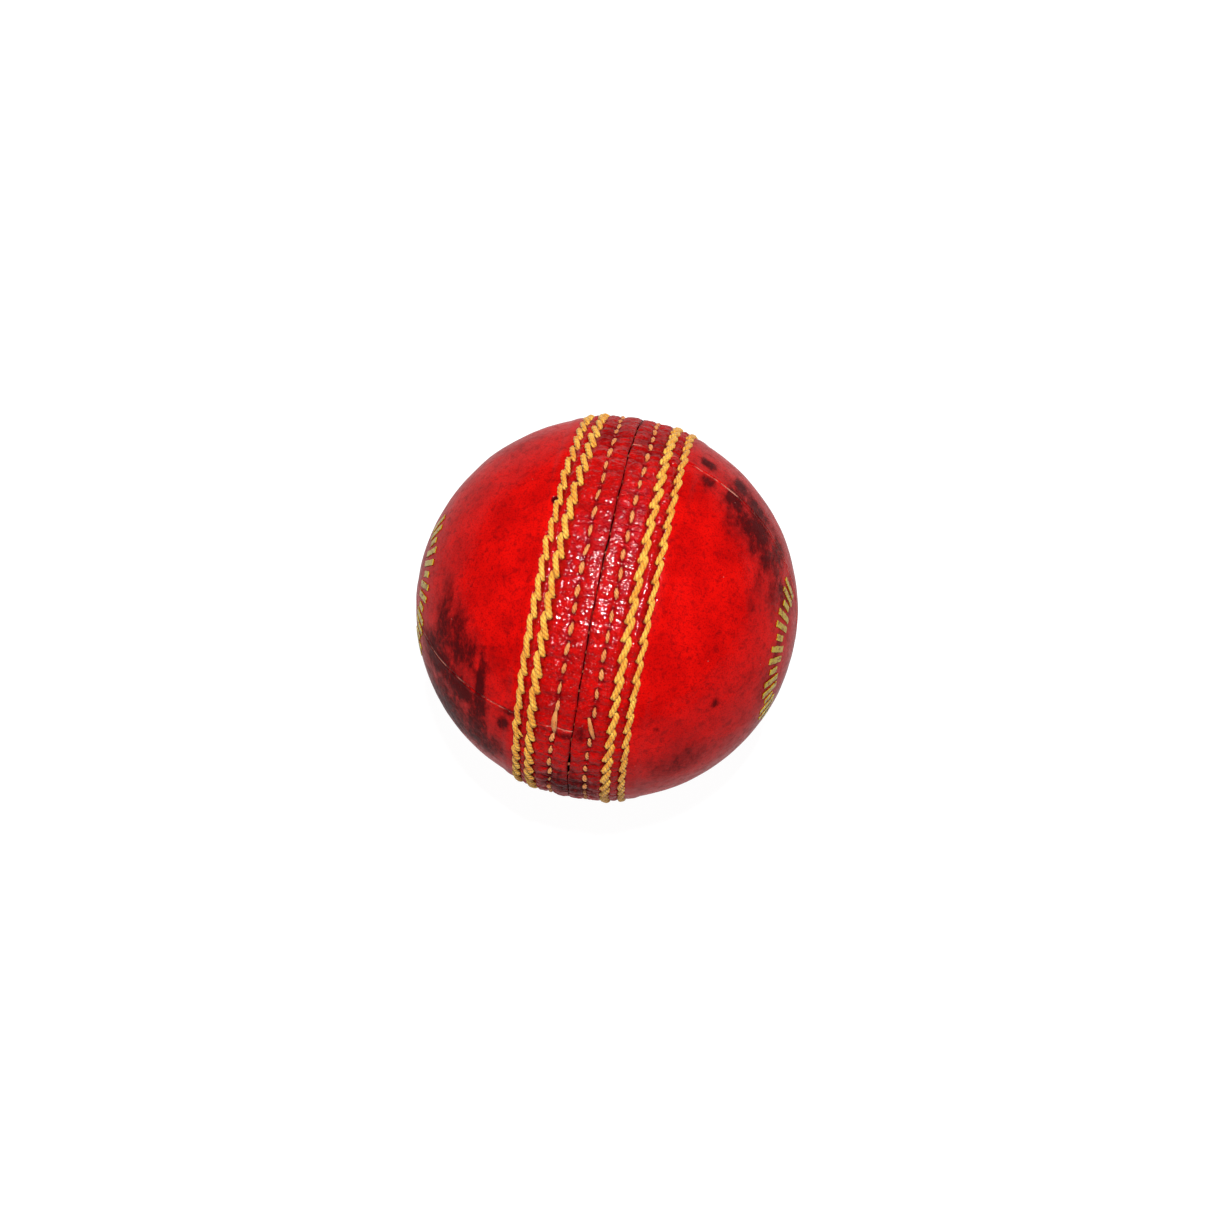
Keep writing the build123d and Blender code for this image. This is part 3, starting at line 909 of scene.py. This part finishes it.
def lining_paint():
    """Thin undyed split leather."""
    paint = Paint("split_leather")
    nap = paint.noise(2.4, 5, 0.7)
    shade = paint.mix(nap, colour(132, 92, 64), colour(84, 54, 38))
    roughness = paint.spread(nap, 0.3, 0.7, 0.75, 0.92)
    return paint.finish(Base_Color=shade, Roughness=roughness, Normal=paint.bump(nap, 0.12, 0.7))


leather = leather_paint()
heavy_linen = thread_paint(
    "golden_linen", light=colour(255, 200, 76, 0.46), middle=colour(244, 160, 36, 0.40),
    dark=colour(186, 78, 6, 0.30), stain=colour(212, 96, 20),
)
closing_linen = thread_paint(
    "closing_linen", light=colour(246, 168, 92, 0.45), middle=colour(226, 132, 60, 0.45),
    dark=colour(150, 50, 20), stain=colour(196, 60, 24),
)
foil = foil_paint()
hidden_paints = {
    "wool_winding": wool_paint(),
    "cork_layer": cork_paint("cork_slips", colour(190, 146, 100), colour(132, 92, 58), 1.1),
    "core_nucleus": cork_paint("cork_and_rubber", colour(120, 84, 58), colour(52, 36, 28), 0.8),
    "lining": lining_paint(),
    "quarter_thread": closing_linen,
}


# ---- Making the pieces -----------------------------------------------


def make_cover():
    """The four quarters, each in place of its CAD solid."""
    for name, quarter in quarters.items():
        mesh = panel_mesh(f"leather_{name}", quarter)
        add_object(f"leather_{name}", mesh, leather, f"cover_quarter_{name}")


def hairs(middles, radii, count, seed):
    """Short fibres that stand up from threads: curved lines of points and their radii."""
    radius_at_root, margin = 0.022, 6
    random = np.random.default_rng(seed)
    along, out, across = frames(middles)
    which = random.integers(len(middles), size=count)
    start = random.integers(margin, hook_points - margin, size=count)
    root, radius = middles[which, start], radii[which, start][:, None]
    lean = random.normal(0, 1, (count, 3)) * (0.8, 0.5, 0.8)
    lean[:, 1] = abs(lean[:, 1]) + 0.4
    directions = np.stack([along[which, start], out[which, start], across[which, start]], 1)
    heading = unit(np.einsum("ni,nij->nj", lean, directions))
    curl = unit(np.einsum("ni,nij->nj", random.normal(0, 1, (count, 3)), directions))
    reach = np.linspace(0, 1, hook_points)[None, :, None] * random.uniform(0.2, 0.6, (count, 1, 1))
    lines = (root + heading * radius * 0.8)[:, None, :] + heading[:, None, :] * reach
    lines = lines + curl[:, None, :] * reach**2 * 0.4
    size = np.full(lines.shape[:2], radius_at_root)
    return lines, size * np.linspace(1, 0.5, hook_points), lines, np.full(lines.shape[:2], 0.02)


def fray(row, seed):
    """The loose stitch of a closing row, spread into separate fibres."""
    fibres, width = 28, 0.22
    random = np.random.default_rng(seed)
    arc, angle, height = [line[row["loose"]] for line in closing_middles(row)]
    open_here = np.clip(1 - hook**2, 0, 1)
    spread = random.normal(0, width, (fibres, 1)) * open_here**0.8
    stray = random.normal(0, 0.10, (fibres, 1)) * hook**3
    rise = random.uniform(0.0, 0.35, (fibres, 1)) * open_here
    lines = place(arc + spread + stray, angle + random.normal(0, 0.25, (fibres, 1)), height + rise)
    size = np.full(lines.shape[:2], 0.085) * random.uniform(0.6, 1.2, (fibres, 1))
    return lines, size, lines, size


def loose_end():
    """A cut end of the outer left thread that stands clear of the leather."""
    reach = np.linspace(0, 1, hook_points)[None, :]
    line = place(-10.1 + 1.15 * reach, -63.2 - 1.3 * reach**2, 0.35 + 0.35 * np.sin(2.2 * reach))
    size = np.full(line.shape[:2], 0.24) * (1 - 0.45 * reach**2)
    return strands(line, size, 1.4, np.zeros(1))


def joined(tubes):
    """Several lots of tubes as one."""
    return [np.concatenate(parts) for parts in zip(*tubes)]


def make_heavy_rows():
    """The four heavy rows of twisted thread, with a few loose fibres."""
    for number, (name, row) in enumerate(rows.items()):
        middles = place(*heavy_middles(row))
        radii = row["radius"] * row["size"][:, None] * (1 - 0.22 * np.abs(hook[None, :]) ** 6)
        loose_hairs = hairs(middles, radii, 60, heavy_hair_seed + number)
        tubes = [strands(middles, radii, 2.9, row["twist"]), loose_hairs]
        if name == "left_outer":
            tubes.append(loose_end())
        mesh = tube_mesh(f"thread_{name}", *joined(tubes))
        depth_values(mesh, 0.05, 0.45)
        add_object(f"thread_{name}", mesh, heavy_linen, f"stitch_row_{name}")


def slit_crossings():
    """The bits of the closing thread that cross the slit, from each left stitch to a right one."""
    left, right = closing_rows["left"], closing_rows["right"]
    reach = np.linspace(0, 1, hook_points)[None, :]
    arc = left["middle"][:, None] * (1 - reach) + right["middle"][:, None] * reach
    angle = left["angle"][:, None] * (1 - reach) + right["angle"][:, None] * reach
    height = -0.62 - 0.6 * np.abs(2 * reach - 1) ** 3 + np.zeros(arc.shape)
    return strands(place(arc, angle, height), np.full(arc.shape, 0.26), 1.6, left["twist"])


def make_closing_rows():
    """The two inner rows and the bits of the same thread that cross the slit."""
    tubes = []
    taper = np.clip(1 - np.abs(hook[None, :]) ** 1.7, 0.03, 1) ** 0.7
    for number, row in enumerate(closing_rows.values()):
        middles = place(*closing_middles(row))
        size = row["width"][:, None] * taper
        tubes.append(strands(middles, size, 2.2, row["twist"]))
        tubes.append(fray(row, fray_seed + number))
        tubes.append(hairs(middles, size, 40, closing_hair_seed + number))
    tubes.append(slit_crossings())
    mesh = tube_mesh("thread_closing", *joined(tubes))
    depth_values(mesh, -0.15, 0.4)
    add_object("thread_closing", mesh, closing_linen, "closing_stitch_thread")


def bar_points(side, length, turn, height, wobble):
    """A grid of points over one gilt bar, at that height above the leather."""
    rows_along, columns_across = wobble.shape
    across = np.linspace(-mark_width / 2, mark_width / 2, columns_across)
    along = np.linspace(-length / 2, length / 2, rows_along)
    radius = mark_circle + along[:, None] + 0 * across[None, :]
    polar = np.arcsin(np.clip(radius / ball_radius, 0, 1))
    arc = side * (np.pi / 2 - polar) * ball_radius
    angle = turn + np.degrees(across[None, :] / radius) + wobble
    return place(arc, angle, np.full(arc.shape, height)).reshape(-1, 3).tolist()


def mark_mesh(cup):
    """Plain gilt bars of two lengths in an arc round a cheek's pole, laid on the leather."""
    side = -1 if cup == "left" else 1
    random = np.random.default_rng(foil_seeds[cup])
    points, faces = [], []
    rows_along, columns_across = 17, 7
    for k in range(mark_count):
        length = mark_lengths[k % len(mark_lengths)]
        turn = mark_middles[cup] + mark_arc * (k / (mark_count - 1) - 0.5)
        wobble = random.normal(0, 0.15, (rows_along, columns_across))
        for height in (mark_top, mark_under):
            index = len(points) + np.arange(wobble.size).reshape(wobble.shape)
            points += bar_points(side, length, turn, height, wobble)
            corners = [index[:-1, :-1], index[:-1, 1:], index[1:, 1:], index[1:, :-1]]
            quads = np.stack(corners, -1).reshape(-1, 4)
            faces += (quads if height == mark_top else quads[:, ::-1]).tolist()
        rim = np.concatenate([index[0, :-1], index[:-1, -1], index[-1, :0:-1], index[:0:-1, 0]])
        top = rim - wobble.size
        faces += np.stack([top, rim, np.roll(rim, -1), np.roll(top, -1)], -1).tolist()
    mesh = bpy.data.meshes.new(f"gilt_{cup}")
    mesh.from_pydata((np.array(points) * MM).tolist(), [], faces)
    shell = bmesh.new()
    shell.from_mesh(mesh)
    bmesh.ops.recalc_face_normals(shell, faces=shell.faces)
    shell.to_mesh(mesh)
    shell.free()
    return mesh


def make_marks():
    """Worn gilt bars on both cheeks, in place of the CAD's."""
    for cup in mark_middles:
        add_object(f"gilt_{cup}", mark_mesh(cup), foil, f"gilt_marks_{cup}")


def paint_hidden():
    """Gives every CAD node that stays its own material."""
    for name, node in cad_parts.items():
        for prefix, material in hidden_paints.items():
            if name.startswith(prefix):
                node.data.materials.clear()
                node.data.materials.append(material)


# ---- Stage, lights and camera ----------------------------------------

view_azimuth, view_elevation = 11.68, 71.77
view_distance = 600 * MM
lens_length, sensor_width = 94.4, 36
frame_shift = 0.001
floor_size = 8.0
# Less glow under the ball paints a contact shadow on the floor.
floor_glow, painted_shadow_glow = 0.95, 0.3  # the light the floor gives off, in the open and under the ball
painted_shadow_start, painted_shadow_reach = 0.5, 8  # where that fades, in mm past the ball's lowest point
lamp_distance = 1.1
world_strength = 0.16


def camera_direction():
    """The direction from the ball to the camera."""
    a, e = radians(view_azimuth), radians(view_elevation)
    return Vector((np.sin(a) * np.cos(e), -np.cos(a) * np.cos(e), np.sin(e)))


def make_stage():
    """A plain pale floor at the ball's lowest point, with a painted contact shadow right under the ball."""
    mesh = bpy.data.meshes.new("floor")
    half, z = floor_size / 2, cad_box[0][2]
    corners = [(-half, -half, z), (half, -half, z), (half, half, z), (-half, half, z)]
    mesh.from_pydata(corners, [], [(0, 1, 2, 3)])
    floor = new_object("floor", mesh)
    paint = Paint("pale_floor")
    shade = paint.mix(paint.noise(0.02, 2), colour(248, 248, 248, 0.1), colour(244, 244, 245, 0.1))
    from_centre = paint.add("ShaderNodeVectorMath", operation="LENGTH")
    paint.put(from_centre.inputs[0], paint.place)
    contact = painted_shadow_start - z / MM
    # Painted contact shadow: the floor glows less close to the ball.
    glow = paint.spread(
        from_centre.outputs["Value"], contact, contact + painted_shadow_reach, painted_shadow_glow, floor_glow
    )
    mesh.materials.append(paint.finish(
        Base_Color=shade, Roughness=0.85, Specular_IOR_Level=0.1, Emission_Color=(1, 1, 1, 1),
        Emission_Strength=glow,
    ))


def add_light(name, direction, size, power):
    """A square light that faces the ball from that direction."""
    light = bpy.data.lights.new(name, "AREA")
    light.size = size
    light.energy = power
    lamp = new_object(name, light)
    lamp.location = Vector(direction).normalized() * lamp_distance
    lamp.rotation_euler = Vector(direction).to_track_quat("Z", "Y").to_euler()


def make_lights():
    """Dim white surroundings, a soft key from above and a small lamp behind and in front."""
    world = bpy.data.worlds.new("studio")
    bpy.context.scene.world = world
    world.use_nodes = True
    background = world.node_tree.nodes["Background"]
    background.inputs["Color"].default_value = (1, 1, 1, 1)
    background.inputs["Strength"].default_value = world_strength
    add_light("key", (0.04, -0.02, 1.0), size=0.12, power=34.0)
    add_light("back", (0.02, 0.8, 1.0), size=0.03, power=2.2)
    add_light("front", (-0.06, -1.6, 1.0), size=0.05, power=4.0)


def make_camera():
    """The view from high in front, a little to the right."""
    lens = bpy.data.cameras.new("camera")
    lens.lens = lens_length
    lens.sensor_width = sensor_width
    lens.shift_y = frame_shift
    camera = new_object("camera", lens)
    direction = camera_direction()
    camera.location = direction * view_distance
    camera.rotation_euler = direction.to_track_quat("Z", "Y").to_euler()
    bpy.context.scene.camera = camera


make_cover()
make_heavy_rows()
make_closing_rows()
make_marks()
paint_hidden()
make_stage()
make_lights()
make_camera()
bpy.context.scene.view_settings.view_transform = "Standard"
